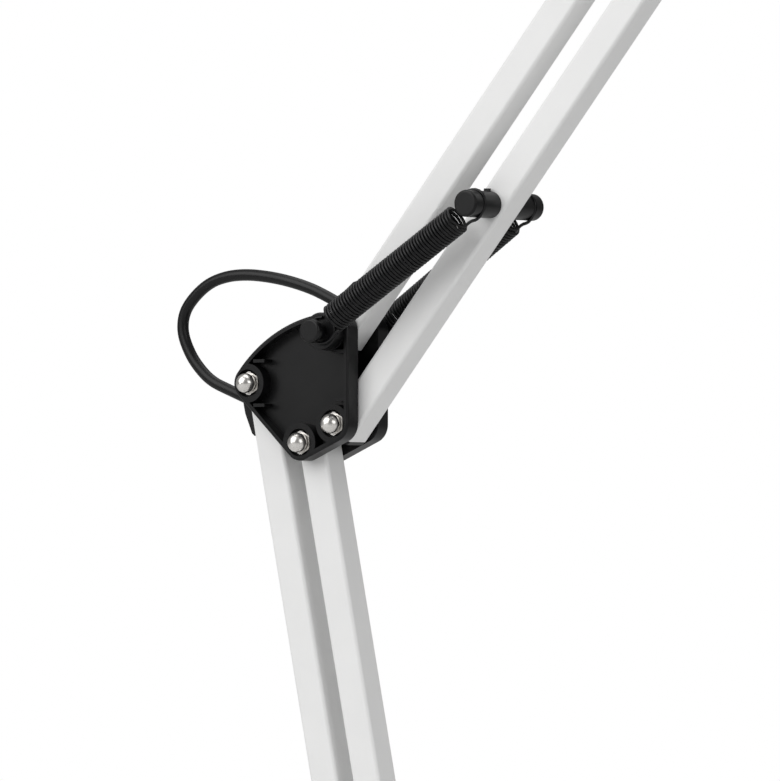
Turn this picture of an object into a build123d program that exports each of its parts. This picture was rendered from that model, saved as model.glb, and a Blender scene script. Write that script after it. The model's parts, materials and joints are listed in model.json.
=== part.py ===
from build123d import *
import math
import os

os.makedirs("parts", exist_ok=True)

# Architect desk lamp: weighted round base, two parallelogram arms of square tube, moulded
# side plates at foot, elbow and head, balance springs, and a bell shade on a tilting yoke.
# Frame: origin at the centre of the base's underside, +Z up, +X towards the shade.
# Every arm hinge runs along Y, and the front of the lamp faces -Y. Millimetres.

# ---------------------------------------------------------------- driving dimensions
base_diameter = 220.0
base_height = 22.0
cover_wall = 1.5
cover_shoulder = 8.0
skirt_gap = 1.0
pad_thickness = 3.0
pad_inset = 5.0
pad_recess_radius = 4.2
weight_thickness = 12.0
weight_gap = 3.0
hub_width = 10.0
screw_inset = 22.0
screw_radius = 1.5
screw_head_radius = 3.8
screw_recess = 0.6
socket_radius = 14.0
socket_rise = 12.0
socket_flange = 3.0
socket_stem_radius = 9.0
spindle_radius = 5.0
spindle_bottom = 16.0
spindle_in_block = 15.2
lead_height = 7.0
channel_height = 6.5
inner_bend = 9.0
relief_length = 26.0
relief_inside = 6.0
relief_flange_radius = 5.5

lower_arm_length = 380.0
upper_arm_length = 380.0
lower_lean = 11.17
upper_rise = 50.65

tube_width = 12.0
tube_wall = 1.0
tube_corner = 1.5
tube_overhang = 3.8
insert_flange = 1.8
insert_reach = 4.5

bolt_radius = 2.5
hex_size = 8.0
nut_hex_height = 1.8
nut_dome_radius = 3.7
nut_neck_wall = 0.45
nut_dome_lift = 3.8
bolt_head_height = 3.5
nut_pocket_radius = 5.2
nut_pocket_depth = 2.7

plate_thickness = 6.9
plate_floor = 1.9
plate_rim = 1.75
plate_edge_round = 0.8
plate_bulge = 58.0
lobe_a = 6.4
lobe_b = 6.8
lobe_c = 7.0
lobe_t = 9.5
boss_radius = 7.3
rib_width = 1.2

spring_boss_radius = 7.0
spring_boss_height = 5.6
peg_neck_wall = 0.55
peg_neck_length = 4.8
peg_hook_inset = 0.9
peg_head_radius = 4.5
peg_head_length = 2.3
peg_bore_depth = 5.2
post_distance = 103.6
post_radius = 5.0
post_base_length = 10.05
post_groove_width = 1.7
post_groove_radius = 3.5
post_head_length = 5.15
post_spigot_radius = 2.5
post_nub_radius = 0.95
spring_radius = 5.8
spring_wire = 1.3
peg_reach = 7.8
post_reach = 7.8

cable_radius = 2.2
tongue_width = 8.0
tongue_length = 15.5
tongue_height = 3.9
tongue_start = 3.0
far_tongue_start = 33.0

block_height = 22.7
block_half_length = 17.0
block_disc_height = 3.9
block_cable_height = 17.7
foot_bolt_span = 24.0
foot_bolt_height = 11.2
foot_clearance = 2.4

yoke_eye_radius = 8.5
yoke_bar_height = 12.0
yoke_bar_width = 10.0
yoke_length = 40.0
yoke_hub_radius = 9.0
yoke_hub_length = 14.0
stem_radius = 4.0
stem_collar = 3.0
stem_collar_radius = 8.0
stem_saddle = 3.0
stem_nut_height = 4.0
knob_radius = 11.0
knob_height = 12.0
knob_flutes = 10
grommet_width = 11.0
grommet_height = 12.0

shade_wall = 0.8
cap_gap = 9.0
vent_offset = 3.4
cap_above_stem = 26.0
cap_below_stem = 22.0
cap_round = 6.0
shade_mouth_radius = 72.0
shade_drop = 112.0
mouth_bead = 1.2
vent_count = 12
holder_radius = 17.0
holder_length = 46.0
thread_radius = 13.2
thread_depth = 27.0
bulb_radius = 27.5
bulb_wall = 1.0
bulb_below_holder = 80.0
switch_radius = 8.5
switch_height = 5.5
button_radius = 5.0
button_height = 5.0
switch_travel = 1.7

# ---------------------------------------------------------------- named clearances
running = 0.05
hinge_gap = 0.3
hole_clearance = 0.1
wall_hole_clearance = 0.3
plate_clearance = 0.7
bolt_tip_gap = 0.2

# ---------------------------------------------------------------- linkage vectors, as (x, z)
link_lower = (23.6, -22.4)
link_upper = (1.7, -34.3)
elbow_to_upper = (36.9, 18.8)
elbow_corner = (1.7, 0.0)
tilt_pivot = (34.0, -17.0)
grommet_place = (15.5, -1.0)


def shifted(point, offset):
    return (point[0] + offset[0], point[1] + offset[1])


def unit(vector):
    length = math.hypot(vector[0], vector[1])
    return (vector[0] / length, vector[1] / length)


def polar(degrees):
    return (math.cos(math.radians(degrees)), math.sin(math.radians(degrees)))


def along(point, direction, distance, side=0.0):
    """The point this far along a direction, and this far to its left."""
    x = point[0] + direction[0] * distance - direction[1] * side
    z = point[1] + direction[1] * distance + direction[0] * side
    return (x, z)


def reverse(direction):
    return (-direction[0], -direction[1])


tube_half = tube_width / 2
nut_neck_radius = bolt_radius + running + nut_neck_wall
peg_neck_radius = bolt_radius + running + peg_neck_wall
cap_radius = holder_radius + cap_gap
end_sweep = math.hypot(tube_half, tube_overhang + insert_flange)
plate_inner = tube_half + plate_clearance
plate_outer = plate_inner + plate_thickness
boss_top = plate_outer + spring_boss_height
nut_seat = plate_outer - nut_pocket_depth
lower_up = polar(90 + lower_lean)
upper_out = polar(upper_rise)

cover_radius = base_diameter / 2
socket_top = base_height + socket_rise
block_bottom = socket_top + hinge_gap
block_top = block_bottom + block_height
block_cable_z = block_bottom + block_cable_height
foot_bolt_z = block_bottom + foot_bolt_height
foot_left = (-foot_bolt_span / 2, foot_bolt_z)
foot_right = (foot_bolt_span / 2, foot_bolt_z)
foot_a = (foot_left[0], block_top + end_sweep + foot_clearance - link_lower[1])
foot_b = shifted(foot_a, link_lower)
elbow_a = along(foot_a, lower_up, lower_arm_length)
elbow_b = shifted(elbow_a, link_lower)
elbow_p = shifted(elbow_a, elbow_to_upper)
elbow_c = shifted(elbow_p, link_upper)
elbow_k = shifted(elbow_p, elbow_corner)
head_p = along(elbow_p, upper_out, upper_arm_length)
head_c = shifted(head_p, link_upper)
head_t = shifted(head_p, tilt_pivot)
foot_post = along(foot_b, lower_up, post_distance)
elbow_post = along(elbow_c, upper_out, post_distance)
peg_groove_y = boss_top + peg_hook_inset
post_groove_y = tube_half + post_base_length + post_groove_width / 2
hub_end_x = head_t[0] + yoke_length
collar_end_x = hub_end_x + hinge_gap + stem_collar
shade_x = collar_end_x + stem_saddle + cap_radius
stem_z = head_t[1]
cap_top = stem_z + cap_above_stem
cap_bottom = stem_z - cap_below_stem
mouth_z = stem_z - shade_drop
relief_tip = -cover_radius - relief_length

print("foot pivots", foot_a, foot_b)
print("elbow pivots", elbow_a, elbow_b, elbow_p, elbow_c)
print("head pivots", head_p, head_c, head_t, "shade axis", shade_x)
print("spring posts", foot_post, elbow_post, "grooves", peg_groove_y, post_groove_y)


def keep(node, piece):
    """Names a finished piece and writes its STEP file."""
    piece.label = node
    export_step(piece, f"parts/{node}.step")


def facing_front(point, depth=0.0):
    """A place on a hinge line whose local Z points out of the lamp's front."""
    return Location((point[0], -depth, point[1]), (90, 0, 0))


def facing_rear(point, depth=0.0):
    """A place on a hinge line whose local Z points out of the lamp's back."""
    return Location((point[0], depth, point[1]), (-90, 0, 0))


# ---------------------------------------------------------------- base
hub_top = base_height - cover_wall
hub_radius = socket_radius + hub_width
inner_radius = cover_radius - cover_wall
weight_radius = inner_radius - weight_gap
pad_radius = cover_radius - pad_inset
screw_circle = weight_radius - screw_inset
relief_grip = cable_radius + 1.5

with BuildPart() as base_cover:
    with BuildSketch(Plane.XY.offset(skirt_gap)):
        Circle(cover_radius)
    extrude(amount=base_height - skirt_gap)
    fillet(base_cover.edges().group_by(Axis.Z)[-1], radius=cover_shoulder)
    fillet(base_cover.edges().group_by(Axis.Z)[0], radius=cover_wall * 0.4)
    with BuildSketch(Plane.XZ):
        with BuildLine():
            inner_round = cover_shoulder - cover_wall
            Line((0, 0), (inner_radius, 0))
            Line((inner_radius, 0), (inner_radius, hub_top - inner_round))
            JernArc((inner_radius, hub_top - inner_round), (0, 1), inner_round, 90)
            Line((inner_radius - inner_round, hub_top), (0, hub_top))
            Line((0, hub_top), (0, 0))
        make_face()
    revolve(axis=Axis.Z, mode=Mode.SUBTRACT)
    with Locations((0, 0, base_height)):
        Cylinder(socket_stem_radius + hole_clearance, 4 * cover_wall, mode=Mode.SUBTRACT)
    with Locations(Location((-cover_radius, 0, lead_height), (0, 90, 0))):
        Cylinder(relief_grip + hole_clearance, 4 * cover_wall, mode=Mode.SUBTRACT)
keep("base_cover", base_cover.part)

with BuildPart() as base_weight:
    with BuildSketch(Plane.XY.offset(pad_thickness)):
        Circle(weight_radius)
    extrude(amount=weight_thickness)
    chamfer(base_weight.edges().group_by(Axis.Z)[-1], length=2.0)
    with BuildSketch(Plane.XY.offset(pad_thickness)):
        Circle(hub_radius)
    extrude(amount=hub_top - pad_thickness)
    with Locations((0, 0, base_height / 2)):
        Cylinder(socket_stem_radius + hole_clearance, base_height, mode=Mode.SUBTRACT)
    with Locations((-cover_radius / 2, 0, pad_thickness + channel_height / 2)):
        Box(cover_radius, 2 * relief_grip + 1, channel_height, mode=Mode.SUBTRACT)
    with Locations((-weight_radius, 0, lead_height)):
        Box(2 * relief_inside, 2 * relief_grip + 1, 3 * relief_grip, mode=Mode.SUBTRACT)
    with BuildSketch(Plane.XY.offset(pad_thickness)):
        with PolarLocations(screw_circle, 3):
            Circle(screw_radius + hole_clearance)
    extrude(amount=weight_thickness - 3, mode=Mode.SUBTRACT)
keep("base_weight", base_weight.part)

with BuildPart() as base_pad:
    with BuildSketch():
        Circle(pad_radius)
        with PolarLocations(screw_circle, 3):
            Circle(pad_recess_radius, mode=Mode.SUBTRACT)
    extrude(amount=pad_thickness)
keep("base_pad", base_pad.part)

with BuildPart() as base_screws:
    with BuildSketch(Plane.XY.offset(pad_thickness)):
        with PolarLocations(screw_circle, 3):
            Circle(screw_radius)
    extrude(amount=weight_thickness - 4)
    with BuildSketch(Plane.XY.offset(screw_recess)):
        with PolarLocations(screw_circle, 3):
            Circle(screw_head_radius)
    extrude(amount=pad_thickness - screw_recess)
keep("base_screws", base_screws.part)

with BuildPart() as base_socket:
    with BuildSketch(Plane.XY.offset(spindle_bottom - 1)):
        Circle(socket_stem_radius)
    extrude(amount=base_height - spindle_bottom + 1)
    with BuildSketch(Plane.XY.offset(base_height)):
        Circle(socket_radius)
    extrude(amount=socket_rise)
    fillet(base_socket.edges().group_by(Axis.Z)[-1], radius=1.2)
    with BuildSketch(Plane.XY.offset(base_height)):
        Circle(socket_radius + socket_flange)
    extrude(amount=2.4)
    wide_rim = base_socket.edges().group_by(Axis.Z)[2].sort_by(SortBy.LENGTH)[-1]
    fillet(wide_rim, radius=1.0)
    with Locations((0, 0, socket_top / 2)):
        Cylinder(spindle_radius + running, 2 * socket_top, mode=Mode.SUBTRACT)
keep("base_socket", base_socket.part)

with BuildPart() as base_cable_relief:
    with BuildSketch(Plane.XZ):
        with BuildLine():
            inside_x = -inner_radius + relief_inside
            grip_z = lead_height + relief_grip
            flange_z = lead_height + relief_flange_radius
            tip_z = lead_height + cable_radius + 0.8
            Polyline(
                (inside_x, lead_height),
                (inside_x, grip_z),
                (-cover_radius - 0.1, grip_z),
                (-cover_radius - 0.1, flange_z),
                (-cover_radius - 2.6, flange_z),
                (-cover_radius - 4.0, grip_z),
                (relief_tip, tip_z),
                (relief_tip, lead_height),
                close=True,
            )
        make_face()
    revolve(axis=Axis((0, 0, lead_height), (1, 0, 0)))
    with Locations(Location((-cover_radius, 0, lead_height), (0, 90, 0))):
        Cylinder(cable_radius + running, 4 * relief_length, mode=Mode.SUBTRACT)
keep("base_cable_relief", base_cable_relief.part)

with BuildPart() as base_cable:
    with BuildLine(Plane.XZ) as inner_route:
        Line((relief_tip, lead_height), (-inner_bend, lead_height))
        JernArc((-inner_bend, lead_height), (1, 0), inner_bend, 90)
        Line((0, lead_height + inner_bend), (0, block_bottom + spindle_in_block - 1))
    with BuildSketch(Plane(origin=(relief_tip, 0, lead_height), z_dir=(1, 0, 0))):
        Circle(cable_radius)
    sweep(path=inner_route.wires()[0])
keep("base_cable", base_cable.part)

# ---------------------------------------------------------------- mains lead, coil and plug
turn_pitch = 2 * cable_radius + 0.1
coil_centre = (-212.0, -2.0)
coil_mean_radius = 22.5
coil_columns = 3
coil_layers = 4
coil_height = coil_layers * turn_pitch
coil_width = coil_columns * turn_pitch + 0.4
plug_angle = 62.0
plug_body_length = 35.0
plug_body_width = 26.0
plug_body_height = 13.7
plug_neck_length = 21.0
plug_pin_radius = 2.0
plug_pin_length = 19.0
plug_pin_spacing = 19.0

lead_points = [
    (relief_tip, 0.0, lead_height),
    (-146.0, 0.0, 7.0),
    (-157.0, -1.5, 5.0),
    (-169.0, -6.5, 2.8),
    (-182.0, -14.5, 2.4),
    (-196.0, -23.0, 2.4),
    (-208.0, -28.3, 2.4),
]
tail_points = [
    (-212.0, 25.0, 15.8),
    (-203.5, 26.0, 15.5),
    (-193.5, 29.8, 13.4),
    (-185.5, 36.5, 10.3),
    (-179.8, 45.0, 8.0),
    (-175.5, 52.6, 7.1),
]


def cord_tube(node, points):
    """A round cord along straight runs, joined by arcs as large as the runs allow."""
    radii = []
    for before, here, after in zip(points, points[1:], points[2:]):
        arriving = Vector(*here) - Vector(*before)
        leaving = Vector(*after) - Vector(*here)
        turn = math.radians(arriving.get_angle(leaving))
        radii.append(0.45 * min(arriving.length, leaving.length) / math.tan(turn / 2))
    with BuildPart() as tube:
        with BuildLine() as route:
            FilletPolyline(*points, radius=radii)
        path = route.wires()[0]
        with BuildSketch(Plane(origin=path @ 0, z_dir=path % 0)):
            Circle(cable_radius)
        sweep(path=path)
    filled = tube.part.volume / (math.pi * cable_radius**2 * path.length)
    print(node, "length", round(path.length, 1), "volume ratio", round(filled, 4))
    print(node, "radii", [round(radius, 1) for radius in radii])
    return tube.part


def in_plane(points, origin=(0.0, 0.0)):
    """Points of the arm's own plane, given from an origin, as points in space."""
    return [(origin[0] + x, 0.0, origin[1] + z) for x, z in points]


with BuildPart() as mains_lead:
    add(cord_tube("mains_lead", lead_points))
    add(cord_tube("mains_tail", tail_points))
keep("mains_lead", mains_lead.part)

with BuildPart() as mains_coil:
    with BuildSketch(Plane(origin=(*coil_centre, 0.05), x_dir=(1, 0, 0), z_dir=(0, -1, 0))):
        with Locations((coil_mean_radius, coil_height / 2)):
            RectangleRounded(coil_width, coil_height, cable_radius * 0.9)
    revolve(axis=Axis((*coil_centre, 0), (0, 0, 1)))
    add(mains_lead.part, mode=Mode.SUBTRACT)
keep("mains_coil", mains_coil.part)

plug_direction = (*polar(plug_angle), 0)
plug_start = Vector(*tail_points[-1])
plug_level = plug_body_height / 2 + 0.25
plug_base = Vector(plug_start.X, plug_start.Y, plug_level)
plug_shoulder = plug_base + Vector(*plug_direction) * plug_neck_length
plug_face = plug_shoulder + Vector(*plug_direction) * plug_body_length
plug_side = Vector(-plug_direction[1], plug_direction[0], 0)


def plug_plane(origin):
    return Plane(origin=origin, x_dir=plug_side, z_dir=plug_direction)


with BuildPart() as mains_plug:
    with BuildSketch(plug_plane(plug_base)):
        Circle(cable_radius + 0.9)
    with BuildSketch(plug_plane(plug_shoulder)):
        Circle(cable_radius + 2.6)
    loft()
    with BuildSketch(plug_plane(plug_shoulder)):
        RectangleRounded(plug_body_height, plug_body_height * 0.8, 4.0)
    with BuildSketch(plug_plane(plug_shoulder + (plug_face - plug_shoulder) * 0.6)):
        RectangleRounded(plug_body_width, plug_body_height, 5.0)
    loft()
    with BuildSketch(plug_plane(plug_shoulder + (plug_face - plug_shoulder) * 0.6)):
        RectangleRounded(plug_body_width, plug_body_height, 5.0)
    extrude(amount=plug_body_length * 0.4)
    fillet(mains_plug.faces().sort_by(Axis(plug_base, plug_direction))[-1].edges(), radius=1.0)
keep("mains_plug", mains_plug.part)

with BuildPart() as plug_pins:
    with BuildSketch(plug_plane(plug_face)):
        with GridLocations(plug_pin_spacing, 0, 2, 1):
            Circle(plug_pin_radius)
    extrude(amount=plug_pin_length)
    fillet(plug_pins.faces().sort_by(Axis(plug_base, plug_direction))[-2:].edges(), radius=1.2)
keep("plug_pins", plug_pins.part)


# ---------------------------------------------------------------- fasteners
def hexagon(height):
    """A hexagon with a corner up, its outer corners turned off."""
    with BuildPart() as hexagonal:
        with BuildSketch():
            RegularPolygon(hex_size / 2, 6, major_radius=False, rotation=30)
        extrude(amount=height)
        with BuildSketch():
            Circle(hex_size / 2 * 1.15)
        extrude(amount=height, taper=6, mode=Mode.INTERSECT)
    return hexagonal.part


def acorn_nut():
    """A domed nut, standing on its seat with the dome outwards."""
    with BuildPart() as nut:
        add(hexagon(nut_hex_height))
        with BuildSketch():
            Circle(nut_neck_radius)
        extrude(amount=nut_dome_lift)
        with Locations((0, 0, nut_dome_lift)):
            Sphere(nut_dome_radius)
        with BuildSketch(Plane.XY.offset(-nut_dome_radius)):
            Circle(hex_size)
        extrude(amount=nut_dome_radius, mode=Mode.SUBTRACT)
        with BuildSketch():
            Circle(bolt_radius + running)
        extrude(amount=nut_dome_lift, mode=Mode.SUBTRACT)
    return nut.part


def nut_group(node, points):
    with BuildPart() as nuts:
        for point in points:
            with Locations(facing_front(point, nut_seat)):
                add(acorn_nut())
    keep(node, nuts.part)


def bolt_group(node, bolted, studded):
    """Hexagon bolts from the back, and plain studs where both ends carry a peg."""
    tip = nut_seat + nut_dome_lift - bolt_tip_gap
    stud_half = boss_top + peg_bore_depth - bolt_tip_gap
    with BuildPart() as bolts:
        for point in bolted:
            with BuildSketch(Plane(facing_front(point, -nut_seat))):
                Circle(bolt_radius)
            extrude(amount=nut_seat + tip)
            with Locations(facing_rear(point, nut_seat)):
                add(hexagon(bolt_head_height))
        for point in studded:
            with BuildSketch(Plane(facing_front(point, -stud_half))):
                Circle(bolt_radius)
            extrude(amount=2 * stud_half)
    keep(node, bolts.part)


def spring_pegs(node, point):
    """A pair of necked pegs, screwed on the stud's two ends, that the springs hook on."""
    with BuildPart() as peg:
        with BuildSketch():
            Circle(peg_neck_radius)
        extrude(amount=peg_neck_length)
        with BuildSketch(Plane.XY.offset(peg_neck_length)):
            Circle(peg_head_radius)
        extrude(amount=peg_head_length)
        fillet(peg.edges().group_by(Axis.Z)[-1], radius=0.9)
        with BuildSketch():
            Circle(bolt_radius + running)
        extrude(amount=peg_bore_depth, mode=Mode.SUBTRACT)
    with BuildPart() as pair:
        with Locations(facing_front(point, boss_top), facing_rear(point, boss_top)):
            add(peg.part)
    keep(node, pair.part)


# ---------------------------------------------------------------- side plates
def outer_tangent(first, second):
    """Where a belt round two circles touches them, on the right of the way between."""
    (start, start_radius), (end, end_radius) = first, second
    way = unit((end[0] - start[0], end[1] - start[1]))
    sine = (start_radius - end_radius) / math.dist(start, end)
    cosine = math.sqrt(1 - sine**2)
    normal = (way[0] * sine + way[1] * cosine, way[1] * sine - way[0] * cosine)
    return along(start, normal, start_radius), along(end, normal, end_radius)


def bulged_tangent(first, second, bulge):
    """Where one large arc round two circles touches them, on the right of the way between."""
    (start, start_radius), (end, end_radius) = first, second
    way = unit((end[0] - start[0], end[1] - start[1]))
    span = math.dist(start, end)
    to_start, to_end = bulge - start_radius, bulge - end_radius
    reach = (to_start**2 - to_end**2 + span**2) / (2 * span)
    centre = along(start, way, reach, math.sqrt(to_start**2 - reach**2))
    start_out = unit((start[0] - centre[0], start[1] - centre[1]))
    end_out = unit((end[0] - centre[0], end[1] - centre[1]))
    middle = unit((start_out[0] + end_out[0], start_out[1] + end_out[1]))
    crown = along(centre, middle, bulge)
    return along(centre, start_out, bulge), crown, along(centre, end_out, bulge)


def lobed_outline(lobes, bulge):
    """A belt round the lobes, given anticlockwise, with its last side bulged."""
    belts = [outer_tangent(one, two) for one, two in zip(lobes, lobes[1:])]
    leaving, crown, arriving = bulged_tangent(lobes[-1], lobes[0], bulge)
    starts = [arriving] + [belt[1] for belt in belts]
    ends = [belt[0] for belt in belts] + [leaving]
    with BuildLine() as outline:
        for belt in belts:
            Line(belt[0], belt[1])
        ThreePointArc(leaving, crown, arriving)
        for (centre, radius), start, end in zip(lobes, starts, ends):
            middle = unit((start[0] + end[0] - 2 * centre[0], start[1] + end[1] - 2 * centre[1]))
            ThreePointArc(start, along(centre, middle, radius), end)
    make_face(outline.edges())


def side_plates(node, lobes, bosses, ribs, spring_point=None):
    """A moulded dished plate for the front, and its mirror image for the back."""
    inset_lobes = [(centre, radius - plate_rim) for centre, radius in lobes]
    with BuildPart() as front:
        with BuildSketch(Plane.XZ.offset(plate_inner)):
            lobed_outline(lobes, plate_bulge)
        extrude(amount=plate_thickness)
        fillet(front.faces().sort_by(Axis.Y)[0].edges(), radius=plate_edge_round)
        with BuildSketch(Plane.XZ.offset(plate_inner + plate_floor)):
            lobed_outline(inset_lobes, plate_bulge - plate_rim)
            with Locations(*bosses):
                Circle(boss_radius, mode=Mode.SUBTRACT)
            for centre, length in ribs:
                with Locations(centre):
                    Rectangle(length, rib_width, mode=Mode.SUBTRACT)
        extrude(amount=plate_thickness, mode=Mode.SUBTRACT)
        if spring_point:
            with BuildSketch(Plane.XZ.offset(plate_inner)):
                with Locations(spring_point):
                    Circle(spring_boss_radius)
            extrude(amount=boss_top - plate_inner)
            fillet(front.faces().sort_by(Axis.Y)[0].edges(), radius=0.6)
        with BuildSketch(Plane.XZ.offset(nut_seat)):
            with Locations(*[point for point in bosses if point != spring_point]):
                Circle(nut_pocket_radius)
        extrude(amount=plate_thickness, mode=Mode.SUBTRACT)
        with Locations(*[facing_front(point, plate_outer) for point in bosses]):
            Cylinder(bolt_radius + hole_clearance, 4 * plate_thickness, mode=Mode.SUBTRACT)
    with BuildPart() as rear:
        mirror(front.part, about=Plane.XZ)
    keep(f"{node}_plate_front", front.part)
    keep(f"{node}_plate_rear", rear.part)


foot_ribs = [(shifted(foot_left, (0, 10.5)), 5.5), (shifted(foot_right, (0, 10.5)), 5.5)]
side_plates(
    "foot",
    [(foot_a, lobe_a), (foot_left, lobe_c), (foot_right, lobe_c), (foot_b, lobe_b)],
    [foot_a, foot_left, foot_right, foot_b],
    foot_ribs,
    foot_a,
)
elbow_ribs = [
    (shifted(elbow_a, (5.2, 8.3)), 5.0),
    (shifted(elbow_a, (5.2, -8.3)), 5.0),
    (shifted(elbow_p, (4.4, -7.4)), 6.0),
    (shifted(elbow_c, (3.0, 8.9)), 5.0),
]
side_plates(
    "elbow",
    [(elbow_a, lobe_a), (elbow_b, lobe_b), (elbow_c, lobe_c), (elbow_k, lobe_c), (elbow_p, lobe_c)],
    [elbow_a, elbow_b, elbow_c, elbow_p],
    elbow_ribs,
    elbow_p,
)
head_ribs = [(shifted(head_t, (-12.0, 0)), 8.0)]
side_plates(
    "head",
    [(head_p, lobe_c), (head_c, lobe_c), (head_t, lobe_t)],
    [head_p, head_c, head_t],
    head_ribs,
)
nut_group("foot_nuts", [foot_b, foot_left, foot_right])
bolt_group("foot_bolts", [foot_b, foot_left, foot_right], [foot_a])
spring_pegs("foot_spring_pegs", foot_a)
nut_group("elbow_nuts", [elbow_a, elbow_b, elbow_c])
bolt_group("elbow_bolts", [elbow_a, elbow_b, elbow_c], [elbow_p])
spring_pegs("elbow_spring_pegs", elbow_p)
nut_group("head_nuts", [head_p, head_c])
bolt_group("head_bolts", [head_p, head_c, head_t], [])

# ---------------------------------------------------------------- foot block and spindle
with BuildPart() as foot_block:
    with BuildSketch(Plane.XY.offset(block_bottom)):
        Circle(socket_radius)
    extrude(amount=block_disc_height)
    fillet(foot_block.edges(), radius=0.6)
    with BuildSketch(Plane.XY.offset(block_bottom + block_disc_height)):
        Rectangle(2 * block_half_length, 2 * plate_inner)
    extrude(amount=block_height - block_disc_height)
    chamfer(foot_block.edges().group_by(Axis.Z)[-1], length=0.8)
    with BuildSketch(Plane.XY.offset(block_bottom)):
        Circle(spindle_radius + running)
    extrude(amount=block_cable_height, mode=Mode.SUBTRACT)
    with Locations(Location((-block_half_length / 2, 0, block_cable_z), (0, 90, 0))):
        Cylinder(cable_radius + hole_clearance, block_half_length, mode=Mode.SUBTRACT)
    with Locations(facing_front(foot_left), facing_front(foot_right)):
        Cylinder(bolt_radius + hole_clearance, 4 * plate_outer, mode=Mode.SUBTRACT)
keep("foot_block", foot_block.part)

with BuildPart() as swivel_spindle:
    with BuildSketch(Plane.XY.offset(spindle_bottom)):
        Circle(spindle_radius)
        Circle(cable_radius + wall_hole_clearance, mode=Mode.SUBTRACT)
    extrude(amount=block_bottom + spindle_in_block - spindle_bottom)
keep("swivel_spindle", swivel_spindle.part)


# ---------------------------------------------------------------- cable loops at the joints
foot_loop_points = [
    (-11.0, 52.0),
    (-22.0, 52.3),
    (-33.0, 54.2),
    (-43.0, 59.5),
    (-50.0, 68.0),
    (-53.5, 78.5),
    (-53.5, 89.5),
    (-50.5, 100.5),
    (-44.5, 110.0),
    (-36.0, 117.5),
    (-26.9, 123.2),
]
elbow_loop_lower_points = [
    (-8.0, -6.0),
    (-18.0, -2.1),
    (-26.6, 1.4),
    (-33.0, 7.4),
    (-36.9, 13.0),
    (-39.9, 20.2),
    (-39.0, 27.6),
    (-34.0, 33.6),
    (-27.0, 38.6),
    (-18.6, 40.9),
    (-14.3, 41.1),
]
elbow_loop_upper_points = [
    (-14.3, 41.1),
    (-10.0, 41.3),
    (-1.4, 40.5),
    (7.2, 39.0),
    (16.0, 36.7),
    (24.4, 33.7),
    (33.4, 29.2),
]
head_loop_points = [
    (-28.9, -22.2),
    (-35.5, -12.5),
    (-39.8, -1.5),
    (-40.0, 10.0),
    (-36.0, 20.5),
    (-28.5, 28.8),
    (-18.0, 33.8),
    (-6.5, 34.0),
    (4.0, 29.5),
    (11.0, 21.0),
    (14.5, 11.0),
    (15.5, 1.0),
]
foot_loop = cord_tube("foot_loop", in_plane(foot_loop_points))
elbow_loop_lower = cord_tube("elbow_loop_lower", in_plane(elbow_loop_lower_points, elbow_a))
elbow_loop_upper = cord_tube("elbow_loop_upper", in_plane(elbow_loop_upper_points, elbow_a))
head_loop = cord_tube("head_loop", in_plane(head_loop_points, head_p))
keep("foot_loop", foot_loop)
keep("elbow_loop_lower", elbow_loop_lower)
keep("elbow_loop_upper", elbow_loop_upper)
keep("head_loop", head_loop)


# ---------------------------------------------------------------- arm tubes
def across_tube(point, direction):
    """The plane of a tube's cross-section, with its local X along the hinge lines."""
    return Plane(
        origin=(point[0], 0, point[1]),
        x_dir=(0, 1, 0),
        z_dir=(direction[0], 0, direction[1]),
    )


def tube_face(point, direction):
    """The plane of a tube's left face, with its local X along the hinge lines."""
    return Plane(
        origin=(point[0], 0, point[1]),
        x_dir=(0, 1, 0),
        z_dir=(-direction[1], 0, direction[0]),
    )


def square_tube(node, pivot, direction, length, cable_slots=(), post=None):
    """A square tube that overhangs its two pivots, drilled for them."""
    far_pivot = along(pivot, direction, length)
    with BuildPart() as tube:
        with BuildSketch(across_tube(along(pivot, direction, -tube_overhang), direction)):
            RectangleRounded(tube_width, tube_width, tube_corner)
            inner = tube_width - 2 * tube_wall
            RectangleRounded(inner, inner, tube_corner - tube_wall, mode=Mode.SUBTRACT)
        extrude(amount=length + 2 * tube_overhang)
        with Locations(facing_front(pivot), facing_front(far_pivot)):
            hole = bolt_radius + wall_hole_clearance
            Cylinder(hole, 2 * tube_width, mode=Mode.SUBTRACT)
        if post:
            with Locations(facing_front(post)):
                Cylinder(post_spigot_radius + hole_clearance, 2 * tube_width, mode=Mode.SUBTRACT)
        for slot in cable_slots:
            middle = along(pivot, direction, slot, tube_half)
            with BuildSketch(tube_face(middle, direction)):
                Circle(cable_radius + wall_hole_clearance)
            extrude(amount=2 * tube_wall, both=True, mode=Mode.SUBTRACT)
    keep(node, tube.part)


def end_inserts(node, pivot, direction, length):
    """The moulded inserts in a tube's two ends, each bored for its pivot bolt."""
    with BuildPart() as inserts:
        far_pivot = along(pivot, direction, length)
        for centre, outward in ((pivot, reverse(direction)), (far_pivot, direction)):
            inner = tube_width - 2 * tube_wall - 2 * running
            with BuildSketch(across_tube(along(centre, outward, -insert_reach), outward)):
                RectangleRounded(inner, inner, tube_corner - tube_wall)
            extrude(amount=insert_reach + tube_overhang)
            with BuildSketch(across_tube(along(centre, outward, tube_overhang), outward)):
                RectangleRounded(tube_width, tube_width, tube_corner)
            extrude(amount=insert_flange, taper=12)
            with Locations(facing_front(centre)):
                Cylinder(bolt_radius + running, 2 * tube_width, mode=Mode.SUBTRACT)
    keep(node, inserts.part)


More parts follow.
